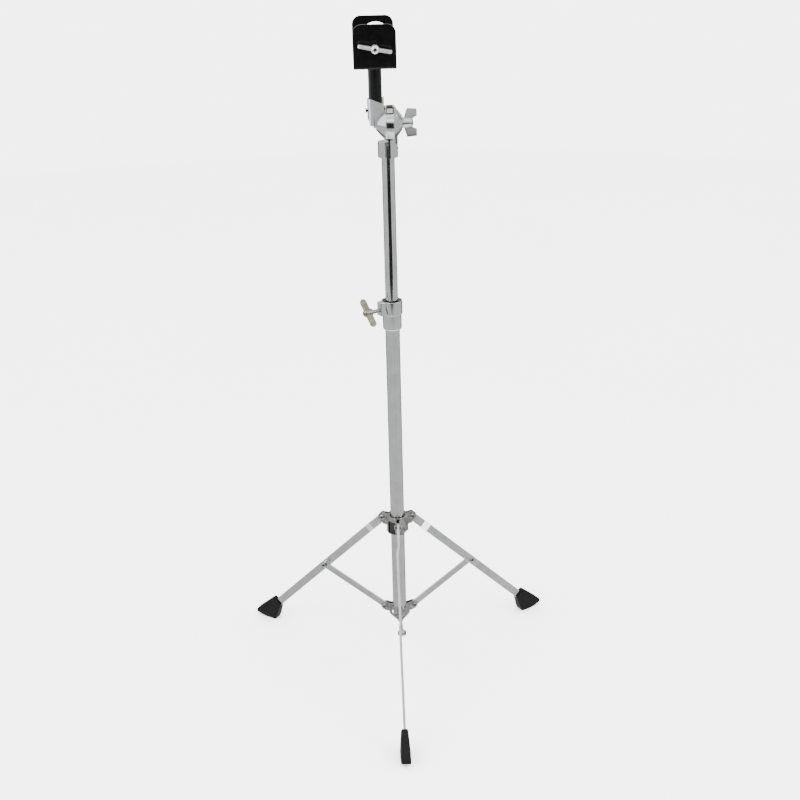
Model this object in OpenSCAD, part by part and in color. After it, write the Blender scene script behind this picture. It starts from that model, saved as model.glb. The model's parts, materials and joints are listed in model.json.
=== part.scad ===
// Folding tripod stand with a tilting U clamp for a cowbell or similar percussion block.
// Millimetres. The tube axis is X = Y = 0, the floor is Z = 0, +Z is up and the
// front leg points within two degrees of -Y.

/* [Tubes] */
// outer diameter of the lower tube
lower_tube_d = 22.2; // [19:0.1:25.4]
// wall of the lower tube
lower_tube_wall = 1.2; // [0.8:0.1:2]
// outer diameter of the upper tube
upper_tube_d = 19.05; // [16:0.05:22]
// wall of the upper tube
upper_tube_wall = 1.2; // [0.8:0.1:2]
// diameter of the black rod under the clamp
rod_d = 19; // [12:0.5:22]
// height of the lower tube's bottom end
lower_tube_z = 84; // [70:1:95]
// height of the lower tube's top end
lower_tube_top = 616; // [500:1:618]
// height of the upper tube's hidden bottom end
upper_tube_z = 380; // [300:1:450]
// height of the upper tube's top end
upper_tube_top = 874; // [860:1:877]

/* [Legs] */
// distance of the leg pivots on the leg collar from the tube axis
collar_pivot_r = 26; // [22:0.5:30]
// height of the leg pivots on the leg collar
collar_pivot_z = 262; // [240:1:280]
// distance of the middle pivots from the tube axis
mid_pivot_r = 144; // [120:1:160]
// height of the middle pivots
mid_pivot_z = 140; // [120:1:160]
// distance of the brace pivots on the hub from the tube axis
hub_pivot_r = 26.5; // [22:0.5:30]
// height of the brace pivots on the hub
hub_pivot_z = 91; // [80:1:100]
// length of a leg beyond its middle pivot
leg_tail = 164; // [140:1:180]
// width of a leg bar
leg_w = 13.4; // [10:0.1:18]
// thickness of a leg bar
leg_t = 3.8; // [2:0.1:5]
// sideways step of a leg that makes room for its brace
leg_step = 3.6; // [3:0.1:5]
// width of a brace bar
brace_w = 11.6; // [8:0.1:14]
// thickness of a brace bar
brace_t = 3; // [2:0.1:4]
// shank diameter of the leg rivets
rivet_d = 5; // [4:0.1:6]
// slack around the collar rivets in the legs' top eyes
eye_slack = 2.2; // [0.1:0.1:2.5]

/* [Height collar] */
// height of the collar's top rim
ring_top = 638.6; // [630:0.1:650]
// height of the step under the wide ring
ring_z = 618; // [605:0.1:625]
// height of the collar's bottom end
ring_sleeve_z = 592.7; // [580:0.1:600]
// outer diameter of the wide ring
ring_d = 32; // [28:0.1:36]
// direction of the height screw, degrees from +X
screw_turn = 209; // [180:1:240]
// height of the height screw
screw_z = 625.8; // [620:0.1:630]

/* [Wing screws] */
// thread diameter of the wing screws
screw_d = 6; // [5:0.5:8]
// tip to tip span of a wing screw
wing_span = 48.4; // [36:0.2:60]
// tip to tip span of the clamp's wing screw
clamp_wing_span = 46.6; // [36:0.2:60]
// thickness of a wing
wing_t = 4.2; // [3:0.1:6]
// width of a wing along the screw
wing_w = 9.6; // [7:0.1:14]
// diameter of a wing screw's hub
hub_d = 11.2; // [9:0.1:14]

/* [Tilter] */
// height of the tilt axis
tilt_z = 904; // [890:1:915]
// outer diameter of the tilter's middle band
tilter_d = 50; // [44:0.5:56]
// left face of the middle band
band_x0 = -1.4; // [-3:0.1:0]
// right face of the middle band
band_x1 = 9; // [7:0.1:11]
// height of the bottom of the split sleeve
sleeve_z = 855.8; // [850:0.1:860]
// outer diameter of the split sleeve
sleeve_d = 29; // [26:0.1:32]

/* [Clamp] */
// sideways offset of the rod from the tube axis
rod_x = -15.8; // [-20:0.1:-12]
// height of the rod's lower end
rod_z = 914; // [912:1:925]
// height of the clamp's floor, underside
clamp_z = 986; // [975:1:995]
// width of the clamp's plates
clamp_w = 58.6; // [50:0.5:65]
// height of the clamp's front plate
clamp_h = 59.6; // [50:0.1:66]
// height of the clamp's rear plate
clamp_rear_h = 60.3; // [50:0.1:68]
// outside depth of the clamp, front to rear
clamp_depth = 100; // [80:1:110]
// sheet thickness of the clamp
clamp_t = 2.5; // [2:0.1:4]
// diameter of the round hole in the rear plate
clamp_hole_d = 41; // [30:0.5:44]
// turn of the clamp on the rod, degrees
clamp_turn = 1.3; // [0:0.1:10]
// where the clamp screw's pad faces, measured from the rod axis
pad_y = -2; // [-40:1:10]

/* [Hidden] */
$fn = 64;
front = 271.1;
right = 31.1;
left = 151.1;
run = 0.05;
lower_r = lower_tube_d / 2;
upper_r = upper_tube_d / 2;
rod_r = rod_d / 2;
rivet_r = rivet_d / 2;
leg_len = norm([mid_pivot_r - collar_pivot_r, mid_pivot_z - collar_pivot_z]);
leg_fall = atan2(collar_pivot_z - mid_pivot_z, mid_pivot_r - collar_pivot_r);
brace_len = norm([mid_pivot_r - hub_pivot_r, mid_pivot_z - hub_pivot_z]);
brace_rise = atan2(mid_pivot_z - hub_pivot_z, mid_pivot_r - hub_pivot_r);
leg_mid_t = -leg_step;
step_t = -leg_step + 1;
step_a = 32;
step_b = 45;
brace_end_r = brace_w / 2;
ear_t = 1.8;
ear_gap = 2.1;
collar_top = 271;
collar_z = 242;
collar_r = 17.5;
hub_top = 98.5;
hub_z = 82;
hub_r = 17;
hub_flat = 14.2;
sheet = 1.8;
clamp_mid_z = 1015.6;
hole_x = 4;
hole_z = 1017.2;
boot_w = 16.6;
nut_h = 1.8;
pad_t = 5;

// ---- helpers ----

// Turns a leg plane to its azimuth: +X points outwards and +Y to the brace side.
module spoke(az) {
  rotate([0, 0, az]) children();
}

// Places the clamp, with the rod axis as its origin.
module on_rod() {
  translate([rod_x, 0, 0]) rotate([0, 0, clamp_turn]) children();
}

module tube(r, wall, z0, z1) {
  translate([0, 0, z0]) difference() {
    cylinder(r = r, h = z1 - z0);
    translate([0, 0, -1]) cylinder(r = r - wall, h = z1 - z0 + 2);
  }
}

// A flat outline with a round end at the origin and a square end at x = len.
module tongue(len, w) {
  circle(d = w);
  translate([0, -w / 2]) square([len, w]);
}

// A shaft along +Y between two values of y.
module cross_pin(r, y0, y1) {
  translate([0, y0, 0]) rotate([-90, 0, 0]) cylinder(r = r, h = y1 - y0);
}

// A low domed rivet head standing on y = 0 towards +Y.
module rivet_head(r, h) {
  rotate([-90, 0, 0]) rotate_extrude() intersection() {
    translate([0, h - (r * r + h * h) / (2 * h)]) circle(r = (r * r + h * h) / (2 * h));
    square([r, h]);
  }
}

// A whole rivet along Y, with a head outside each of y0 and y1.
module rivet(r, y0, y1, head_r, head_h) {
  cross_pin(r, y0, y1);
  translate([0, y1, 0]) rivet_head(head_r, head_h);
  translate([0, y0, 0]) rotate([0, 0, 180]) rivet_head(head_r, head_h);
}

// ---- root: lower tube, hub and height collar ----

module lower_tube() {
  color("silver") tube(lower_r, lower_tube_wall, lower_tube_z, lower_tube_top);
}

// Two parallel ears that carry a pivot at (pr, pz), in a leg plane.
module ears(pr, pz, body_r, z0, z1, end_r, hole_r) {
  for (s = [-1, 1])
    translate([0, s * (ear_gap + ear_t / 2), 0]) rotate([90, 0, 0])
      linear_extrude(height = ear_t, center = true) difference() {
        union() {
          translate([pr, pz]) circle(r = end_r);
          translate([body_r - 3.5, z0]) square([pr - body_r + 3.5, z1 - z0]);
        }
        translate([pr, pz]) circle(r = hole_r);
      }
}

// The hub's plan: a disc with three flats between its ears, set inwards by t.
module hub_plan(t) {
  intersection() {
    circle(r = hub_r - t);
    rotate([0, 0, front]) circle(r = 2 * (hub_flat - t), $fn = 3);
  }
}

module leg_hub() {
  color("silver") difference() {
    union() {
      translate([0, 0, hub_z]) linear_extrude(height = hub_top - hub_z) hub_plan(0);
      for (a = [front, right, left])
        spoke(a) ears(hub_pivot_r, hub_pivot_z, hub_r, 83.6, hub_top, 7, rivet_r);
    }
    translate([0, 0, hub_z - 1]) cylinder(r = lower_r, h = 40);
    translate([0, 0, hub_z - 1]) linear_extrude(height = hub_top - hub_z - 2.4 + 1)
      hub_plan(sheet);
    spoke(right + 180) translate([8, 0, 90.4]) rotate([0, 90, 0]) cylinder(r = 4.6, h = 20);
    for (a = [front, right, left])
      spoke(a) translate([lower_r + sheet, -ear_gap, hub_z - 1]) cube([20, 2 * ear_gap, 30]);
  }
}

module hub_rivets() {
  color("gainsboro")
    for (a = [front, right, left])
      spoke(a) translate([hub_pivot_r, 0, hub_pivot_z])
        rivet(rivet_r, -ear_gap - ear_t, ear_gap + ear_t, 4.2, 1.5);
}

module height_collar() {
  color("silver") difference() {
    union() {
      translate([0, 0, ring_z]) cylinder(d = ring_d, h = ring_top - ring_z);
      translate([0, 0, ring_sleeve_z]) rotate_extrude() difference() {
        square([14.4, ring_z - ring_sleeve_z]);
        difference() {
          translate([11.4, -1]) square([4, 4]);
          translate([11.4, 3]) circle(r = 3);
        }
      }
      rotate([0, 0, screw_turn]) translate([0, -6.5, ring_z]) cube([20.5, 13, ring_top - ring_z]);
      rotate([0, 0, screw_turn]) translate([20.5, -4.5, ring_z]) cube([2, 9, ring_top - ring_z]);
      for (s = [-1, 1])
        rotate([0, 0, screw_turn]) translate([20.5, s * 4.5, ring_z])
          cylinder(r = 2, h = ring_top - ring_z);
    }
    translate([0, 0, ring_sleeve_z - 1]) cylinder(r = lower_r, h = 60);
    translate([0, 0, ring_z + 0.2]) cylinder(r = 14.3, h = 40);
    rotate([0, 0, screw_turn]) translate([5, 0, screw_z]) rotate([0, 90, 0])
      cylinder(d = screw_d + 2 * run, h = 30);
  }
}

module collar_bush() {
  color("dimgray") difference() {
    translate([0, 0, ring_z + 0.2]) cylinder(r = 14.3, h = 18.4);
    translate([0, 0, ring_z - 1]) cylinder(r = upper_r + 0.07, h = 40);
    rotate([0, 0, screw_turn]) translate([5, 0, screw_z]) rotate([0, 90, 0])
      cylinder(r = screw_d / 2 + 0.5, h = 30);
    for (a = [60, 180, 300])
      rotate([0, 0, a]) translate([8, -1, ring_z + 12]) cube([8, 2, 20]);
  }
}

// ---- upper tube ----

module upper_tube() {
  color("silver") difference() {
    tube(upper_r, upper_tube_wall, upper_tube_z, upper_tube_top);
    translate([0, 0, 868]) rotate([0, 90, 0]) cylinder(r = 1.6, h = 30);
  }
}

module upper_tube_plug() {
  color("dimgray") translate([0, 0, upper_tube_z - 2]) {
    cylinder(r = upper_r, h = 2);
    cylinder(r = upper_r - upper_tube_wall, h = 14);
  }
}

// A wing screw along +X: its tip is at x = 0, its hub is at x = reach and its wings
// are centred that far out, less back.
module wing_screw(reach, turn, span = wing_span, back = 0) {
  rotate([0, 90, 0]) cylinder(d = screw_d, h = reach);
  translate([reach - 6.5, 0, 0]) rotate([0, 90, 0]) difference() {
    rotate_extrude() {
      square([hub_d / 2, 11]);
      translate([0, 11]) intersection() {
        scale([1, 0.7]) circle(r = hub_d / 2);
        square([hub_d / 2, hub_d]);
      }
    }
    translate([0, 0, 12.6]) cylinder(r = 2.9, h = 6, $fn = 4);
  }
  rotate([turn, 0, 0]) translate([reach - back, 0, 0]) rotate([90, 0, 0])
    linear_extrude(height = wing_t, center = true) {
      square([wing_w, span - wing_w], center = true);
      for (s = [-1, 1])
        translate([0, s * (span - wing_w) / 2]) circle(d = wing_w);
    }
}

module height_wing_screw() {
  color("tan") rotate([0, 0, screw_turn]) translate([upper_r + 0.2, 0, screw_z])
    wing_screw(31.2, 50);
}

// ---- leg collar ----

module leg_collar() {
  color("silver") difference() {
    union() {
      translate([0, 0, collar_z]) cylinder(r = collar_r, h = collar_top - collar_z);
      for (a = [front, right, left])
        spoke(a) ears(collar_pivot_r, collar_pivot_z, collar_r, 250, collar_top - 1, 8, rivet_r);
      translate([-6.5, 12, 248.5]) cube([13, 11, 16]);
    }
    translate([0, 0, collar_z - 1]) cylinder(r = collar_r - sheet, h = collar_top - collar_z - sheet + 1);
    translate([0, 0, collar_z - 1]) cylinder(r = 12.6, h = 60);
    for (a = [front, right, left])
      spoke(a) translate([collar_r - sheet - 1, -ear_gap, collar_z - 1]) cube([30, 2 * ear_gap, 40]);
    rotate([0, 0, 234]) translate([10, -6.6, collar_z + 2]) cube([20, 13.2, 20.5]);
    rotate([0, 0, 331.1]) translate([10, -6, collar_z - 1]) cube([20, 12, 5]);
    translate([0, 10, 256.5]) rotate([-90, 0, 0]) cylinder(d = screw_d + 2 * run, h = 20);
  }
}

module leg_collar_bush() {
  color("dimgray") difference() {
    translate([0, 0, collar_z + 1]) cylinder(r = collar_r - sheet, h = collar_top - collar_z - sheet - 1);
    translate([0, 0, collar_z - 1]) cylinder(r = lower_r + 0.08, h = 60);
    translate([0, 10, 256.5]) rotate([-90, 0, 0]) cylinder(r = screw_d / 2 + 0.5, h = 20);
  }
}

module leg_collar_rivets() {
  color("gainsboro")
    for (a = [front, right, left])
      spoke(a) translate([collar_pivot_r, 0, collar_pivot_z])
        rivet(rivet_r, -ear_gap - ear_t, ear_gap + ear_t, 4.4, 1.6);
}

module leg_collar_screw() {
  color("tan") translate([0, lower_r + 0.2, 256.5]) rotate([0, 0, 90]) wing_screw(25, 0);
}

// ---- legs, feet and braces ----

// Everything in a leg's own frame: origin at its top pivot, +X down the leg.
module leg_frame() {
  translate([collar_pivot_r, 0, collar_pivot_z]) rotate([0, leg_fall, 0]) children();
}

module leg() {
  color("silver") leg_frame() difference() {
    intersection() {
      linear_extrude(height = leg_w, center = true)
        polygon([[-8, -leg_t / 2], [step_a, -leg_t / 2], [step_b, step_t - leg_t / 2],
                 [leg_len - 14.5, step_t - leg_t / 2], [leg_len - 9.5, leg_mid_t - leg_t / 2],
                 [leg_len + leg_tail, leg_mid_t - leg_t / 2], [leg_len + leg_tail, leg_mid_t + leg_t / 2],
                 [leg_len - 9.5, leg_mid_t + leg_t / 2], [leg_len - 14.5, step_t + leg_t / 2],
                 [step_b, step_t + leg_t / 2], [step_a, leg_t / 2], [-8, leg_t / 2]]);
      rotate([90, 0, 0]) linear_extrude(height = 20, center = true) tongue(leg_len + leg_tail, leg_w);
    }
    cross_pin(rivet_r + eye_slack, -10, 10);
    translate([leg_len, 0, 0]) cross_pin(rivet_r, -10, 10);
  }
}

module mid_rivet() {
  color("gainsboro") leg_frame() translate([leg_len, 0, 0]) {
    rivet(rivet_r, leg_mid_t - leg_t / 2, brace_t / 2 + 0.15 + nut_h, 4.6, 1.7);
    cross_pin(4.6, brace_t / 2 + 0.15, brace_t / 2 + 0.15 + nut_h);
  }
}

module brace() {
  color("silver") translate([hub_pivot_r, 0, hub_pivot_z]) rotate([0, -brace_rise, 0])
    rotate([90, 0, 0]) linear_extrude(height = brace_t, center = true) difference() {
      union() {
        circle(r = brace_end_r);
        translate([0, -brace_end_r]) square([brace_len, brace_w]);
        translate([brace_len, 0]) circle(r = brace_end_r);
      }
      circle(r = rivet_r + run);
      translate([brace_len, 0]) circle(r = rivet_r + run);
    }
}

// A fan-shaped rubber boot: outline in the leg plane, with a curved sole at Z = 0.
module foot() {
  color("dimgray") difference() {
    translate([0, leg_mid_t, 0]) rotate([90, 0, 0]) linear_extrude(height = boot_w, center = true)
      intersection() {
        polygon([[241.4, 29.6], [254.7, 42.7], [262, 37.6], [291.4, 11.2], [291.4, -1], [252, -1], [248, 8]]);
        translate([259, 88]) circle(r = 88, $fn = 180);
      }
    for (s = [0, 1])
      translate([0, leg_mid_t, 0]) mirror([0, s, 0]) translate([200, boot_w / 2, 0]) rotate([4.9, 0, 0])
        cube([130, 10, 80]);
    leg_frame() translate([0, leg_mid_t - leg_t / 2, -leg_w / 2]) cube([leg_len + leg_tail, leg_t, leg_w]);
  }
}

module leg_front() {
  spoke(front) leg();
}
module leg_right() {
  spoke(right) leg();
}
module leg_left() {
  spoke(left) leg();
}
module foot_front() {
  spoke(front) foot();
}
module foot_right() {
  spoke(right) foot();
}
module foot_left() {
  spoke(left) foot();
}
module mid_rivet_front() {
  spoke(front) mid_rivet();
}
module mid_rivet_right() {
  spoke(right) mid_rivet();
}
module mid_rivet_left() {
  spoke(left) mid_rivet();
}
module brace_front() {
  spoke(front) brace();
}
module brace_right() {
  spoke(right) brace();
}
module brace_left() {
  spoke(left) brace();
}

// ---- tilter, fixed half ----

// Moves to the tilt axis and turns +Z along +X, with local z = 0 at X = x0.
module on_tilt(x0) {
  translate([x0, 0, tilt_z]) rotate([0, 90, 0]) children();
}

module tilter_sleeve() {
  color("silver") difference() {
    union() {
      translate([0, 0, sleeve_z]) cylinder(d = sleeve_d, h = 26);
      translate([3.2, -9.5, 876]) cube([11.3, 19, 12]);
      intersection() {
        on_tilt(band_x1 + 0.2) cylinder(r = tilter_d / 2 - 0.5, h = 5.2);
        translate([0, -9.5, 870]) cube([30, 19, 34]);
      }
    }
    translate([0, 0, sleeve_z - 1]) cylinder(r = upper_r, h = upper_tube_top - sleeve_z + 1);
    on_tilt(band_x0 - 2) cylinder(r = tilter_d / 2 + 0.1, h = band_x1 - band_x0 + 2);
    on_tilt(0) cylinder(r = 4.2, h = 30);
    translate([-4.3, -20, sleeve_z - 1]) cube([4.9, 14, 23]);
    translate([0, 0, 868]) rotate([0, 90, 0]) cylinder(r = 1.6, h = 30);
    translate([-20, -20, 877.8]) cube([20.5, 40, 12]);
  }
}

module sleeve_pin() {
  color("gainsboro") translate([0, 0, 868]) {
    translate([upper_r - 3, 0, 0]) rotate([0, 90, 0]) cylinder(r = 1.6, h = 8.6);
  }
}

module tilter_band() {
  color("silver") difference() {
    on_tilt(band_x0) cylinder(d = tilter_d, h = band_x1 - band_x0);
    on_tilt(band_x0 - 1) cylinder(r = tilter_d / 2 - 2.2, h = 20);
    translate([band_x0 + 0.8, 0, tilt_z]) rotate([-2, 0, 0]) translate([0, -30, -3.6])
      cube([band_x1 - band_x0 - 1.2, 20, 7.2]);
    translate([band_x0 + 0.8, 0, tilt_z]) rotate([-87, 0, 0]) translate([0, -30, -5])
      cube([band_x1 - band_x0 - 1.6, 20, 10]);
    translate([band_x0 + 0.8, 0, tilt_z]) rotate([-158, 0, 0]) translate([0, -30, -3.6])
      cube([band_x1 - band_x0 - 1.6, 20, 7.2]);
  }
}

module tilter_cap_right() {
  color("silver") difference() {
    on_tilt(band_x1) rotate_extrude()
      polygon([[0, 0], [tilter_d / 2, 0], [tilter_d / 2, 0.8], [10, 12.4], [0, 12.4]]);
    on_tilt(band_x1 - 1) rotate_extrude()
      polygon([[0, 0], [21.5, 0], [21.5, 1.6], [9, 11.6], [0, 11.6]]);
    on_tilt(band_x1) cylinder(r = 4.2, h = 30);
    translate([band_x1 - 1, -9.7, 870]) cube([6.5, 19.4, 34]);
    translate([band_x1 - 1, -9.7, 870]) cube([30, 19.4, 15]);
  }
}

// A ratchet disc along +X with radial teeth on its face.
module ratchet(h) {
  difference() {
    cylinder(r = tilter_d / 2 - 2.6, h = h);
    translate([0, 0, -1]) cylinder(r = 4.2, h = h + 2);
    for (a = [0 : 15 : 345])
      rotate([0, 0, a]) translate([10, 0, h + 0.2]) rotate([45, 0, 0]) translate([0, -0.8, -0.8])
        cube([20, 1.6, 1.6]);
  }
}

module ratchet_right() {
  color("dimgray") on_tilt(band_x1 - 0.2) mirror([0, 0, 1]) ratchet(4.6);
}

module tilter_bolt() {
  color("gainsboro") on_tilt(0) {
    translate([0, 0, -19.5]) cylinder(r = 7, h = 3.3);
    translate([0, 0, -17]) cylinder(r = 4, h = 54);
  }
}

module tilter_washer() {
  color("gainsboro") on_tilt(21.6) difference() {
    cylinder(r = 7.5, h = 1.2);
    translate([0, 0, -1]) cylinder(r = 4.1, h = 4);
  }
}

module tilter_wing_nut() {
  color("silver") difference() {
    union() {
      on_tilt(23) cylinder(r1 = 7.5, r2 = 5.6, h = 11.6);
      translate([0, 0, tilt_z]) rotate([90, 0, 0]) linear_extrude(height = 4, center = true)
        for (s = [-1, 1])
          polygon([[23.4, 0], [23.4, s * 6], [28.2, s * 20.4], [42.2, s * 19.2], [42.2, s * 8.6],
                   [38.4, s * 8], [35.6, s * 4.6], [34.4, 0]]);
    }
    on_tilt(20) cylinder(r = 4.05, h = 30);
  }
}

// ---- tilter, moving half ----

module tilter_cap_left() {
  color("silver") difference() {
    on_tilt(-16.2) rotate_extrude()
      polygon([[0, 0], [9.4, 0], [tilter_d / 2, 13.8], [tilter_d / 2, 14.5], [0, 14.5]]);
    on_tilt(-15) rotate_extrude()
      polygon([[0, 0], [8, 0], [21.5, 12.4], [21.5, 20], [0, 20]]);
    on_tilt(-20) cylinder(r = 4.05, h = 30);
    translate([rod_x, 0, 901.6]) cylinder(r = 12.4, h = 60);
    translate([rod_x, -12.2, 901.6]) cube([12, 24.4, 60]);
    translate([-40, -12.2, 901.6]) cube([26, 24.4, 60]);
  }
}

module ratchet_left() {
  color("dimgray") on_tilt(band_x0 + 0.2) ratchet(4.6);
}

module tilter_receiver() {
  color("silver") difference() {
    translate([rod_x, 0, 0]) linear_extrude(height = 939) {
      circle(r = 11.7);
      translate([0, -11.7]) square([12, 23.4]);
    }
    translate([-40, -20, -1]) cube([80, 40, 902.7]);
    translate([rod_x, 0, rod_z - 0.1]) cylinder(r = rod_r + run, h = 60);
    translate([rod_x, -20, 937]) rotate([0, 22, 0]) translate([-20, 0, 0]) cube([60, 17.5, 30]);
    on_tilt(-20) cylinder(r = 4.05, h = 40);
    on_tilt(-40) cylinder(r = 7.4, h = 25.4);
    translate([-35, 0, 922]) rotate([0, 90, 0]) cylinder(r = 2.05, h = 12);
  }
}

module rod_set_screw() {
  color("dimgray") translate([rod_x - rod_r - 5, 0, 922]) rotate([0, 90, 0]) difference() {
    union() {
      cylinder(r = 2, h = 4.9);
      cylinder(r = 3.6, h = 1.6);
    }
    translate([0, 0, -1]) cylinder(r = 1.5, h = 2, $fn = 6);
  }
}

// ---- clamp ----

module clamp_rod() {
  color("dimgray") on_rod() difference() {
    translate([0, 0, rod_z]) cylinder(r = rod_r, h = clamp_z - rod_z);
    translate([0, 0, clamp_z - 20]) cylinder(r = screw_d / 2, h = 30);
  }
}

// A clamp plate's outline, standing on y = z0, with two round top corners.
module plate_outline(z0, top) {
  difference() {
    translate([-clamp_w / 2, z0]) square([clamp_w, top - z0]);
    for (s = [-1, 1])
      translate([s * (clamp_w / 2 - 12), top - 12]) difference() {
        translate([s > 0 ? 0 : -13, 0]) square([13, 13]);
        circle(r = 12);
      }
  }
}

// The clamp's front plate and floor. Its rear plate stands on the floor as a node of its
// own, so that the space between the plates stays open in collision.
module clamp_bracket() {
  color("dimgray") on_rod() translate([0, 0, clamp_z]) difference() {
    union() {
      translate([0, -clamp_depth / 2 + clamp_t, 0]) rotate([90, 0, 0])
        linear_extrude(height = clamp_t) plate_outline(0, clamp_h);
      translate([-clamp_w / 2, -clamp_depth / 2, 0]) cube([clamp_w, clamp_depth, clamp_t]);
    }
    translate([0, -clamp_depth / 2 - 10, clamp_mid_z - clamp_z]) rotate([-90, 0, 0])
      cylinder(r = screw_d / 2 + 0.5, h = 20);
    translate([0, 0, -1]) cylinder(r = screw_d / 2, h = 10);
  }
}

module clamp_rear_plate() {
  color("dimgray") on_rod() translate([0, clamp_depth / 2, clamp_z]) rotate([90, 0, 0])
    linear_extrude(height = clamp_t) difference() {
      plate_outline(clamp_t, clamp_rear_h);
      translate([hole_x, hole_z - clamp_z]) circle(d = clamp_hole_d, $fn = 96);
    }
}

module clamp_rod_screw() {
  color("gainsboro") on_rod() {
    translate([0, 0, clamp_z - 18]) cylinder(r = screw_d / 2, h = 20.5);
    translate([0, 0, clamp_z + clamp_t]) difference() {
      cylinder(r = 6, h = 3);
      translate([0, 0, 1.4]) cylinder(r = 2.6, h = 3, $fn = 6);
    }
  }
}

module clamp_nut() {
  color("gainsboro") on_rod() translate([0, -clamp_depth / 2 - 6, clamp_mid_z]) rotate([-90, 0, 0])
    difference() {
      union() {
        cylinder(r = 6.4, h = 6, $fn = 6);
        translate([0, 0, 3.6]) cylinder(r = 6.9, h = 2.4);
      }
      translate([0, 0, -1]) cylinder(r = screw_d / 2 + run, h = 8);
    }
}

module clamp_wing_screw() {
  color("gainsboro") on_rod() translate([0, pad_y - pad_t + 1.6, clamp_mid_z]) rotate([0, 0, -90])
    wing_screw(66 + pad_y, 79, clamp_wing_span, 1.5);
}

module clamp_pad() {
  color("dimgray") on_rod() translate([0, pad_y - pad_t, clamp_mid_z]) rotate([-90, 0, 0])
    difference() {
      cylinder(r = 11, h = pad_t);
      translate([0, 0, -1]) cylinder(r = screw_d / 2 + run, h = 2.7);
    }
}

lower_tube();
leg_hub();
hub_rivets();
height_collar();
collar_bush();
upper_tube();
upper_tube_plug();
height_wing_screw();
leg_collar();
leg_collar_bush();
leg_collar_rivets();
leg_collar_screw();
leg_front();
leg_right();
leg_left();
foot_front();
foot_right();
foot_left();
mid_rivet_front();
mid_rivet_right();
mid_rivet_left();
brace_front();
brace_right();
brace_left();
tilter_sleeve();
sleeve_pin();
tilter_band();
tilter_cap_right();
ratchet_right();
tilter_bolt();
tilter_washer();
tilter_wing_nut();
tilter_cap_left();
ratchet_left();
tilter_receiver();
rod_set_screw();
clamp_rod();
clamp_bracket();
clamp_rear_plate();
clamp_rod_screw();
clamp_nut();
clamp_wing_screw();
clamp_pad();
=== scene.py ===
import json
import math

import bpy
import bmesh
from mathutils import Matrix, Vector


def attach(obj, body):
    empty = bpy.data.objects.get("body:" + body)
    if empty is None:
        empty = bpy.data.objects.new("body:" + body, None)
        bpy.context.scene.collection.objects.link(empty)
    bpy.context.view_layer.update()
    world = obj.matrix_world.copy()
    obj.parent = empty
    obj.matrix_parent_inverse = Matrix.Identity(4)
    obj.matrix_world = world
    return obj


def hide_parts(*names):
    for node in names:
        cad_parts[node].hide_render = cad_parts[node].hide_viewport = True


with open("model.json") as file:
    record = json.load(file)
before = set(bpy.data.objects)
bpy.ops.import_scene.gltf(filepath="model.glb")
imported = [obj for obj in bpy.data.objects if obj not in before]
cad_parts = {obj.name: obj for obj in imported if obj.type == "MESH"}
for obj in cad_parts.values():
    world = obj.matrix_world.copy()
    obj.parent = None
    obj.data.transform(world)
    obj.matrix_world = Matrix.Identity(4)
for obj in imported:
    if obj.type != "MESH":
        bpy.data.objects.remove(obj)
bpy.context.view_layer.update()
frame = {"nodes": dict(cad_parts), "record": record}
MM = 0.001
RELIEF = 0.2 * MM


# ---- materials ----


def new_material(name):
    m = bpy.data.materials.new(name)
    m.use_nodes = True
    nt = m.node_tree
    bsdf = next(n for n in nt.nodes if n.type == "BSDF_PRINCIPLED")
    return m, nt, bsdf


def noise(nt, scale, detail, rough, stretch=(1, 1, 1)):
    tc = nt.nodes.new("ShaderNodeTexCoord")
    mp = nt.nodes.new("ShaderNodeMapping")
    mp.inputs["Scale"].default_value = stretch
    n = nt.nodes.new("ShaderNodeTexNoise")
    n.inputs["Scale"].default_value = scale
    n.inputs["Detail"].default_value = detail
    n.inputs["Roughness"].default_value = rough
    nt.links.new(tc.outputs["Object"], mp.inputs["Vector"])
    nt.links.new(mp.outputs["Vector"], n.inputs["Vector"])
    return n.outputs["Fac"]


def remap(nt, fac, lo, hi, a=0.3, b=0.7):
    r = nt.nodes.new("ShaderNodeMapRange")
    r.inputs["From Min"].default_value = a
    r.inputs["From Max"].default_value = b
    r.inputs["To Min"].default_value = lo
    r.inputs["To Max"].default_value = hi
    nt.links.new(fac, r.inputs["Value"])
    return r.outputs["Result"]


def ramp(nt, fac, stops):
    r = nt.nodes.new("ShaderNodeValToRGB")
    while len(r.color_ramp.elements) < len(stops):
        r.color_ramp.elements.new(0.5)
    for e, (p, c) in zip(r.color_ramp.elements, stops):
        e.position = p
        e.color = (*c, 1)
    nt.links.new(fac, r.inputs["Fac"])
    return r.outputs["Color"]


def bump(nt, bsdf, fac, strength):
    b = nt.nodes.new("ShaderNodeBump")
    b.inputs["Strength"].default_value = strength
    b.inputs["Distance"].default_value = RELIEF
    nt.links.new(fac, b.inputs["Height"])
    nt.links.new(b.outputs["Normal"], bsdf.inputs["Normal"])


def metal(name, dark, light, rough_lo, rough_hi, scale, strength, metallic=1.0):
    m, nt, p = new_material(name)
    p.inputs["Metallic"].default_value = metallic
    f = noise(nt, scale, 4, 0.55)
    nt.links.new(ramp(nt, f, [(0.35, dark), (0.65, light)]), p.inputs["Base Color"])
    g = noise(nt, scale * 3, 5, 0.6)
    nt.links.new(remap(nt, g, rough_lo, rough_hi), p.inputs["Roughness"])
    h = noise(nt, scale * 12, 2, 0.5)
    bump(nt, p, h, strength)
    return m


def dielectric(name, dark, light, rough_lo, rough_hi, scale, strength, spec):
    m, nt, p = new_material(name)
    f = noise(nt, scale, 4, 0.55)
    nt.links.new(ramp(nt, f, [(0.35, dark), (0.65, light)]), p.inputs["Base Color"])
    g = noise(nt, scale * 2.5, 4, 0.6)
    nt.links.new(remap(nt, g, rough_lo, rough_hi), p.inputs["Roughness"])
    p.inputs["Specular IOR Level"].default_value = spec
    h = noise(nt, scale * 14, 3, 0.6)
    bump(nt, p, h, strength)
    return m


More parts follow.
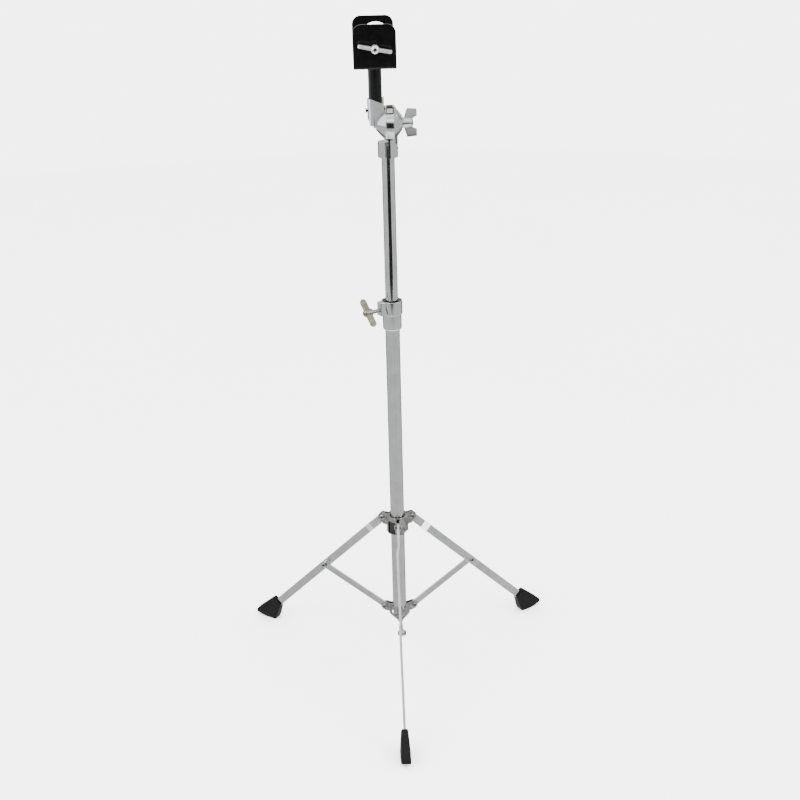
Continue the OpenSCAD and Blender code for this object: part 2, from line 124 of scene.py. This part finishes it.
# Each metal and dielectric has a dark and a light colour, a roughness range, a grain and a relief.
MAT = {
    "chrome_plate": metal("chrome_plate", (0.49, 0.495, 0.50), (0.57, 0.575, 0.58),
                          0.05, 0.11, 60, 0.03),
    "dull_nickel": metal("dull_nickel", (0.13, 0.13, 0.125), (0.34, 0.34, 0.33),
                         0.22, 0.40, 170, 0.25),
    "bright_casting": metal("bright_casting", (0.62, 0.62, 0.61), (0.80, 0.80, 0.79),
                            0.24, 0.38, 180, 0.12, 0.93),
    "zinc_fasteners": metal("zinc_fasteners", (0.14, 0.14, 0.14), (0.40, 0.41, 0.42),
                            0.22, 0.36, 260, 0.14),
    # nickel_casting's khaki tint and darkness are partly painted light: a painted shadowed warm reflection
    # on the wing screw, on top of the casting's own grey.
    "nickel_casting": metal("nickel_casting", (0.15, 0.147, 0.122), (0.30, 0.293, 0.25),
                            0.26, 0.42, 240, 0.20),
    "black_oxide": metal("black_oxide", (0.035, 0.035, 0.037), (0.06, 0.06, 0.062),
                         0.35, 0.5, 100, 0.15),
    "black_enamel": dielectric("black_enamel", (0.0010, 0.0010, 0.0011), (0.0018, 0.0018, 0.0020),
                               0.07, 0.14, 120, 0.03, 0.18),
    "cream_nylon": dielectric("cream_nylon", (0.155, 0.135, 0.108), (0.235, 0.205, 0.168),
                              0.30, 0.45, 200, 0.10, 0.4),
    "black_rubber": dielectric("black_rubber", (0.0011, 0.0011, 0.00105), (0.0024, 0.0024, 0.0022),
                               0.50, 0.70, 220, 0.30, 0.16),
    "black_nylon": dielectric("black_nylon", (0.002, 0.002, 0.0022), (0.004, 0.004, 0.0044),
                              0.30, 0.45, 120, 0.10, 0.4),
}

SLOT = {s["node"]: s["material_slot"] for s in frame["record"]["subparts"]}
for name, obj in frame["nodes"].items():
    obj.data.materials.clear()
    obj.data.materials.append(MAT[SLOT[name]])


def modifier(obj, name, kind, **values):
    m = obj.modifiers.new(name, kind)
    for key, value in values.items():
        setattr(m, key, value)
    return m


def shade_edges(obj, angle=32):
    """Smooth shading that keeps flat faces flat and edges over the angle sharp."""
    for poly in obj.data.polygons:
        poly.use_smooth = True
    modifier(obj, "edges", "EDGE_SPLIT", split_angle=math.radians(angle))
    modifier(obj, "normals", "WEIGHTED_NORMAL", mode="FACE_AREA", weight=100)


def soften(obj, width, segments=2, angle=30, split=40):
    """Rounds the sharp edges of a pressed or turned piece."""
    modifier(obj, "weld", "WELD", merge_threshold=0.002 * MM)
    modifier(obj, "round_edges", "BEVEL", width=width * MM, segments=segments, limit_method="ANGLE",
             angle_limit=math.radians(angle), use_clamp_overlap=True)
    shade_edges(obj, split)


def cast(obj, voxel, passes):
    """Turns a plain solid into a cast or moulded one, with rounded edges and filled corners."""
    for poly in obj.data.polygons:
        poly.use_smooth = True
    modifier(obj, "voxels", "REMESH", mode="VOXEL", voxel_size=voxel * MM, use_smooth_shade=True)
    modifier(obj, "relax", "SMOOTH", factor=0.5, iterations=passes)


# CAST holds a voxel size and a count of smoothing passes, SOFT the radius of the rounded edges.
CAST = {
    "height_wing_screw": (0.35, 6), "clamp_wing_screw": (0.3, 4), "leg_collar_screw": (0.35, 6),
    "tilter_wing_nut": (0.35, 4), "height_collar": (0.4, 3),
    "foot_front": (0.5, 6), "foot_right": (0.5, 6), "foot_left": (0.5, 6), "clamp_pad": (0.4, 4),
}
SOFT = {
    "leg_collar": 0.5, "leg_hub": 0.5, "tilter_receiver": 0.5, "tilter_sleeve": 0.6, "tilter_band": 0.4,
    "tilter_cap_left": 0.4, "tilter_cap_right": 0.4, "lower_tube": 0.3, "upper_tube": 0.3,
}
BARS = ("leg_front", "leg_right", "leg_left", "brace_front", "brace_right", "brace_left")
for name, obj in frame["nodes"].items():
    if name in CAST:
        cast(obj, *CAST[name])
    elif name in SOFT:
        soften(obj, SOFT[name])
    elif name in BARS:
        soften(obj, 0.5, 1, 30, 9)
    else:
        shade_edges(obj)


# ---- pieces made here ----


def place(name, data):
    """A new object in the scene that holds a mesh, a light or a camera."""
    o = bpy.data.objects.new(name, data)
    bpy.context.scene.collection.objects.link(o)
    return o


def link(name, bm, body, slot):
    """A finished mesh becomes a piece of the object that rides on a body and takes a slot's material."""
    me = bpy.data.meshes.new(name)
    bm.to_mesh(me)
    bm.free()
    me.materials.append(MAT[slot])
    o = place(name, me)
    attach(o, body)
    return o


def along(origin, axis):
    """A frame in millimetres whose +Z runs along axis from origin."""
    z = Vector(axis).normalized()
    x = Vector((0, 0, 1)).cross(z).normalized()
    y = z.cross(x)
    m = Matrix((x, y, z)).transposed().to_4x4()
    m.translation = Vector(origin)
    return Matrix.Scale(MM, 4) @ m


def lathe(bm, frame_m, profile, sides, ridge=None):
    """Turns (radius, height) points round the frame's +Z, with ridge(angle, height) added to the radius."""
    rows = []
    for r, h in profile:
        row = []
        for i in range(sides):
            a = 2 * math.pi * i / sides
            q = r + (ridge(a, h) if ridge else 0)
            row.append(bm.verts.new(frame_m @ Vector((q * math.cos(a), q * math.sin(a), h))))
        rows.append(row)
    for lower, upper in zip(rows, rows[1:]):
        for i in range(sides):
            j = (i + 1) % sides
            bm.faces.new((lower[i], lower[j], upper[j], upper[i]))
    bm.faces.new(list(reversed(rows[0])))
    bm.faces.new(rows[-1])


PITCH = 1.25


def thread(name, origin, axis, h0, h1, r, body, depth=0.34):
    """A screw thread that stands a little proud of the plain shank it covers."""
    def ridge(a, h):
        t = (h / PITCH - a / (2 * math.pi)) % 1.0
        return depth * (1 - 2 * abs(t - 0.5)) - depth / 2
    steps = int((h1 - h0) / PITCH * 6)
    profile = [(r, h0 + (h1 - h0) * i / steps) for i in range(steps + 1)]
    bm = bmesh.new()
    lathe(bm, along(origin, axis), profile, 24, ridge)
    shade_edges(link(name, bm, body, "zinc_fasteners"), 50)


# Places in the CAD's millimetres: the clamp's turn and rod, the wing screws and the tilter's axis.
TURN = math.radians(1.3)
ROD = Vector((-15.8, 0, 0))
HEIGHT_SCREW_AZ = math.radians(209)
HEIGHT_SCREW_Z, LEG_SCREW_Z, CLAMP_SCREW_Z, TILT_Z = 625.8, 256.5, 1015.6, 904
PAD_Y = -5.4


def rod_point(x, y, z):
    """A point of the turned clamp, measured from the rod's axis."""
    dx = x * math.cos(TURN) - y * math.sin(TURN)
    dy = x * math.sin(TURN) + y * math.cos(TURN)
    return ROD + Vector((dx, dy, z))


clamp_out = Vector((math.sin(TURN), -math.cos(TURN), 0))
clamp_tip = rod_point(0, PAD_Y, CLAMP_SCREW_Z)
height_out = Vector((math.cos(HEIGHT_SCREW_AZ), math.sin(HEIGHT_SCREW_AZ), 0))
height_axis = Vector((0, 0, HEIGHT_SCREW_Z))
leg_out = Vector((0, 1, 0))
leg_axis = Vector((0, 0, LEG_SCREW_Z))
thread("height_screw_thread", height_axis, height_out, 22.6, 34.6, 3.02, "height_screw")
thread("leg_screw_thread", leg_axis, leg_out, 23.1, 30.0, 3.02, "leg_collar_screw")
thread("clamp_screw_thread", clamp_tip, clamp_out, 1.8, 58.0, 3.0, "clamp_screw", 0.30)
thread("tilter_bolt_thread", (0, 0, TILT_Z), (1, 0, 0), 34.2, 37.1, 4.0, "upper")


def recess_shade(name, origin, axis, h, body):
    """The dark floor of the square recess in a wing screw's hub: painted shade that stands in for the
    recess's shadow.
    """
    bm = bmesh.new()
    lathe(bm, along(origin, axis), [(2.3, h - 1.2), (2.75, h - 0.25), (2.3, h), (0.9, h - 0.5)], 4)
    link(name, bm, body, "black_oxide")


# Painted shade: a dark plug darkens each wing screw's recess.
recess_shade("clamp_screw_recess_shade", clamp_tip, clamp_out, 71.75, "clamp_screw")
recess_shade("height_screw_recess_shade", height_axis, height_out, 48.625, "height_screw")
recess_shade("leg_screw_recess_shade", leg_axis, leg_out, 44.0, "leg_collar_screw")

# Tubular rivets: a rolled rim round a dark eye, on both ends of every rivet. The dark eye is painted shade:
# a dark plug that stands in for the shadow in the rivet's hollow.
AZ = {"front": 271.1, "right": 31.1, "left": 151.1}
RIM = [(2.1, 0.0), (2.2, 0.75), (2.8, 1.05), (3.5, 0.8), (3.9, 0.2), (3.9, 0.0)]


def shaded_eyes(name, spots, body):
    """Both ends of the rivets at (azimuth, radius, height, first end, second end) on one body."""
    rims, eye_shades = bmesh.new(), bmesh.new()
    for az, pr, pz, t0, t1 in spots:
        a = math.radians(az)
        for t, way in ((t0, -1), (t1, 1)):
            side = Vector((-math.sin(a), math.cos(a), 0))
            at = Vector((pr * math.cos(a), pr * math.sin(a), pz)) + side * t
            m = along(at, side * way)
            lathe(rims, m, RIM, 28)
            # Painted shade: a dark plug fills the hollow of each rivet.
            lathe(eye_shades, m, [(2.15, 0.0), (2.15, 0.78), (0.6, 0.7)], 24)
    shade_edges(link(name + "_rims", rims, body, "zinc_fasteners"), 45)
    link(name + "_eyes", eye_shades, body, "black_oxide")


HUB_PIVOT, COLLAR_PIVOT, MID_PIVOT = (26.5, 91), (26, 262), (144, 140)
EAR_ENDS, MID_ENDS = (-4.9, 4.9), (-6.6, 4.5)
shaded_eyes("hub_rivet", [(az, *HUB_PIVOT, *EAR_ENDS) for az in AZ.values()], "base")
shaded_eyes("collar_rivet", [(az, *COLLAR_PIVOT, *EAR_ENDS) for az in AZ.values()], "leg_collar")
for side, az in AZ.items():
    shaded_eyes("mid_rivet_" + side, [(az, *MID_PIVOT, *MID_ENDS)], "leg_" + side)

# Two strips on the tilter's front: a pale one over the band's top slot, whose cream colour is a painted
# warm reflection, and a dark one above it, which is painted shade standing in for the slot's dark opening.


def ring_strip(name, low, high, slot):
    """A strip that lies on the tilter's front from one angle above the horizontal to another."""
    bm = bmesh.new()
    rows = []
    for i in range(13):
        a = math.radians(low + (high - low) * i / 12)
        row = []
        for x, r in ((-0.4, 24.6), (0.1, 25.35), (7.7, 25.35), (8.2, 24.6)):
            row.append(bm.verts.new(Vector((x, -r * math.cos(a), TILT_Z + r * math.sin(a))) * MM))
        rows.append(row)
    for lower, upper in zip(rows, rows[1:]):
        for i in range(4):
            j = (i + 1) % 4
            bm.faces.new((lower[i], lower[j], upper[j], upper[i]))
    bm.faces.new(rows[0])
    bm.faces.new(list(reversed(rows[-1])))
    bmesh.ops.recalc_face_normals(bm, faces=bm.faces)
    o = link(name, bm, "upper", slot)
    soften(o, 0.15, 2)
    return o


# Painted light: the pale strip is a painted warm reflection and the dark strip is painted shade.
ring_strip("tilter_painted_warm_reflection", 43.5, 61.5, "cream_nylon")
ring_strip("tilter_painted_slot_shade", 61.5, 75.5, "black_nylon")

# The clamp is one bent strip of sheet: front plate, floor and rear plate.
# WIDE and DEEP are halves, ROUND the plates' top corners and BEND the outer radius of the bends.
WIDE, DEEP, SHEET, FRONT_H, REAR_H, ROUND, BEND = 29.3, 50.0, 2.5, 59.6, 60.3, 12.0, 4.0
HALFWAY = 30.0
CLAMP_Z = 986
EYE_X, EYE_Z, EYE_R = 4, 1017.2, 20.5
CLAMP_SCREW_HOLE_R = 3.5


def half_width(up, top):
    over = up - (top - ROUND)
    return WIDE if over <= 0 else WIDE - ROUND + math.sqrt(max(ROUND * ROUND - over * over, 0))


def plate(y, top):
    """Stations down one plate to halfway: outer point, inner point and half width."""
    rise = [top - ROUND * (1 - math.cos(math.pi / 2 * i / 12)) for i in range(13)]
    inner = y - math.copysign(SHEET, y)
    return [((y, up), (inner, up), half_width(up, top)) for up in rise + [HALFWAY]]


def bend(side):
    """Stations round the bend between a plate and the floor, from the plate down."""
    rows = []
    for i in range(9):
        a = math.pi / 2 * i / 8
        outer, inner = [(side * (DEEP - BEND + r * math.cos(a)), BEND - r * math.sin(a))
                        for r in (BEND, BEND - SHEET)]
        rows.append((outer, inner, WIDE))
    return rows


strip = plate(-DEEP, FRONT_H) + bend(-1) + bend(1)[::-1] + plate(DEEP, REAR_H)[::-1]
bm = bmesh.new()
rings = []
for (oy, oz), (iy, iz), w in strip:
    pts = [(-w, oy, oz), (w, oy, oz), (w, iy, iz), (-w, iy, iz)]
    rings.append([bm.verts.new(rod_point(x, y, z + CLAMP_Z) * MM) for x, y, z in pts])
for a, b in zip(rings, rings[1:]):
    for i in range(4):
        j = (i + 1) % 4
        bm.faces.new((a[j], a[i], b[i], b[j]))
bm.faces.new(rings[0])
bm.faces.new(list(reversed(rings[-1])))
bmesh.ops.recalc_face_normals(bm, faces=bm.faces)
bracket = link("clamp_bent_sheet", bm, "clamp", "black_enamel")
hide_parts("clamp_bracket", "clamp_rear_plate")


def drill(target, origin, axis, r, length, sides):
    """Cuts a round hole in the target and returns the tool, which goes once the cut is applied."""
    bm = bmesh.new()
    lathe(bm, along(origin, axis), [(r, 0), (r, length)], sides)
    me = bpy.data.meshes.new("drill")
    bm.to_mesh(me)
    bm.free()
    tool = place("drill", me)
    modifier(target, "hole", "BOOLEAN", operation="DIFFERENCE", solver="EXACT", object=tool)
    return tool


tools = [
    drill(bracket, rod_point(EYE_X, 30, EYE_Z), -clamp_out, EYE_R, 30, 96),
    drill(bracket, rod_point(0, -40, CLAMP_SCREW_Z), clamp_out, CLAMP_SCREW_HOLE_R, 20, 48),
]
bpy.context.view_layer.update()
cut = bpy.data.meshes.new_from_object(bracket.evaluated_get(bpy.context.evaluated_depsgraph_get()))
bracket.modifiers.clear()
bracket.data = cut
for tool in tools:
    bpy.data.objects.remove(tool, do_unlink=True)
soften(bracket, 0.55, 3)


# ---- floor, light and camera ----


def sheet(name, corners, mat):
    """A flat four-cornered surface."""
    me = bpy.data.meshes.new(name)
    me.from_pydata(corners, [], [(0, 1, 2, 3)])
    me.materials.append(mat)
    return place(name, me)


def glossy_only(obj):
    """Makes an object show only in reflections, as a studio's flags and diffusers do."""
    obj.visible_camera = False
    obj.visible_diffuse = False
    obj.visible_shadow = False
    obj.visible_transmission = False
    obj.visible_volume_scatter = False


def emission(name, colour, strength):
    """A material that glows, with its node tree and its emission node."""
    m = bpy.data.materials.new(name)
    m.use_nodes = True
    nt = m.node_tree
    nt.nodes.clear()
    e = nt.nodes.new("ShaderNodeEmission")
    e.inputs["Color"].default_value = (*colour, 1)
    e.inputs["Strength"].default_value = strength
    out = nt.nodes.new("ShaderNodeOutputMaterial")
    nt.links.new(e.outputs["Emission"], out.inputs["Surface"])
    return m, nt, e


def card(name, corners, mat):
    """A flat four-cornered card that shows only in reflections."""
    glossy_only(sheet(name, corners, mat))


FLOOR = [(-30, -30, 0), (30, -30, 0), (30, 30, 0), (-30, 30, 0)]
floor_mat, nt, p = new_material("floor_paint")
f = noise(nt, 1.5, 3, 0.5)
nt.links.new(ramp(nt, f, [(0.3, (0.86, 0.86, 0.86)), (0.7, (0.88, 0.88, 0.88))]), p.inputs["Base Color"])
p.inputs["Roughness"].default_value = 0.8
floor = sheet("floor", FLOOR, floor_mat)
floor.visible_glossy = False

world = bpy.data.worlds.new("studio")
bpy.context.scene.world = world
world.use_nodes = True
bg = world.node_tree.nodes["Background"]
bg.inputs["Color"].default_value = (1.0, 1.0, 1.0, 1)
bg.inputs["Strength"].default_value = 6.0

# The tent is what the plated pieces mirror: even at eye level, brighter overhead and below.
TENT_RADIUS, TENT_Z, BRIGHTEST = 4.0, 0.5, 4.0
TENT = [(0.0, 3.2), (0.14, 2.6), (0.185, 1.12), (0.5, 1.12), (0.62, 1.12), (0.80, 1.6), (1.0, 2.6)]


def tent_cloth():
    """A glow that follows the height, with soft upright folds."""
    mat, nt, e = emission("tent_cloth", (1, 1, 1), BRIGHTEST)
    tc = nt.nodes.new("ShaderNodeTexCoord")
    sep = nt.nodes.new("ShaderNodeSeparateXYZ")
    nt.links.new(tc.outputs["Object"], sep.inputs["Vector"])
    height = remap(nt, sep.outputs["Z"], 0, 1, -TENT_RADIUS, TENT_RADIUS)
    glow = ramp(nt, height, [(at, (value / BRIGHTEST,) * 3) for at, value in TENT])
    cloth = noise(nt, 0.9, 3, 0.6, (1, 1, 0.06))
    streaks = ramp(nt, cloth, [(0.3, (0.74, 0.745, 0.75)), (0.7, (1.0, 1.0, 1.0))])
    folds = nt.nodes.new("ShaderNodeMix")
    folds.data_type = "RGBA"
    folds.blend_type = "MULTIPLY"
    folds.inputs["Factor"].default_value = 1.0
    first, second = [i for i in folds.inputs if i.type == "RGBA"]
    nt.links.new(glow, first)
    nt.links.new(streaks, second)
    nt.links.new(next(o for o in folds.outputs if o.type == "RGBA"), e.inputs["Color"])
    return mat


bm = bmesh.new()
bmesh.ops.create_uvsphere(bm, u_segments=64, v_segments=32, radius=TENT_RADIUS)
me = bpy.data.meshes.new("tent")
bm.to_mesh(me)
bm.free()
me.materials.append(tent_cloth())
tent = place("tent", me)
tent.location = (0, 0, TENT_Z)
glossy_only(tent)

# The flags and cards that the plated pieces mirror: dark ones for dark lines, bright ones for highlights.
GLOW = {
    "dark": ((0.03, 0.03, 0.033), 1.0), "dim": ((0.26, 0.26, 0.265), 1.0), "top": ((1.0, 1.0, 1.0), 3.2),
    "bright": ((1.0, 1.0, 1.0), 7.0), "even": ((1.0, 1.0, 1.0), 1.0), "cool": ((0.86, 0.95, 1.0), 3.0),
    "warm": ((1.0, 0.88, 0.74), 2.4),
}
CARD = {kind: emission(kind + "_card", *look)[0] for kind, look in GLOW.items()}


def upright(name, start, end, z0, z1, kind):
    """A card that stands on the line from start to end, between two heights."""
    card(name, [(*start, z0), (*end, z0), (*end, z1), (*start, z1)], CARD[kind])


card("flag_floor", [(-1.1, -3.0, 0.0), (1.3, -3.0, 0.0), (1.3, -1.78, 0.0), (-1.1, -1.78, 0.0)],
     CARD["dark"])
upright("flag_low", (-1.6, -3.0), (1.8, -3.0), -0.2, 0.275, "dark")
upright("flag_high", (-1.6, -3.0), (1.8, -3.0), 0.48, 1.0, "dark")
upright("front_top", (-0.9, -3.0), (0.9, -3.0), 1.95, 2.9, "top")
upright("flag_back", (-3.0, 2.2), (3.0, 2.2), -2.3, 0.7, "dim")
upright("tube_shield", (0.52, -0.85), (0.92, -0.45), 0.07, 0.6, "even")
upright("cool_side", (-3.0, -0.6), (-3.0, 1.9), 0.3, 2.0, "cool")
card("warm_top", [(-0.8, -0.3, 3.4), (0.8, -0.3, 3.4), (0.8, 1.5, 3.2), (-0.8, 1.5, 3.2)], CARD["warm"])
upright("step_card", (1.45, -1.86), (1.74, -1.57), -0.45, -0.05, "bright")


def area(name, loc, aim, size, power):
    """A square soft light that points at aim."""
    d = bpy.data.lights.new(name, "AREA")
    d.shape = "SQUARE"
    d.size = size
    d.energy = power
    o = place(name, d)
    o.location = loc
    o.rotation_euler = (Vector(aim) - Vector(loc)).to_track_quat("-Z", "Y").to_euler()


area("key", (-1.9, -1.2, 2.4), (0, 0, 0.6), 0.9, 40)
area("fill", (2.0, -0.8, 1.9), (0, 0, 0.6), 0.8, 25)

cam_data = bpy.data.cameras.new("camera")
cam_data.sensor_width = 36
cam_data.lens = 56.16
cam_data.clip_start = 0.05
cam_data.clip_end = 100
cam = place("camera", cam_data)


def aim_camera(loc, yaw, pitch, roll):
    """Yaw is clockwise from +Y and pitch is downward, both in degrees as the roll is."""
    y, p, r = (math.radians(v) for v in (yaw, pitch, roll))
    fwd = Vector((math.sin(y) * math.cos(p), math.cos(y) * math.cos(p), -math.sin(p)))
    side = Vector((math.cos(y), -math.sin(y), 0))
    up = side.cross(fwd)
    cx = side * math.cos(r) + up * math.sin(r)
    cy = up * math.cos(r) - side * math.sin(r)
    m = Matrix((cx, cy, -fwd)).transposed().to_4x4()
    m.translation = loc
    cam.matrix_world = m


aim_camera((-0.011, -1.7838, 1.2528), 0.636, 23.592, -1.373)
bpy.context.scene.camera = cam
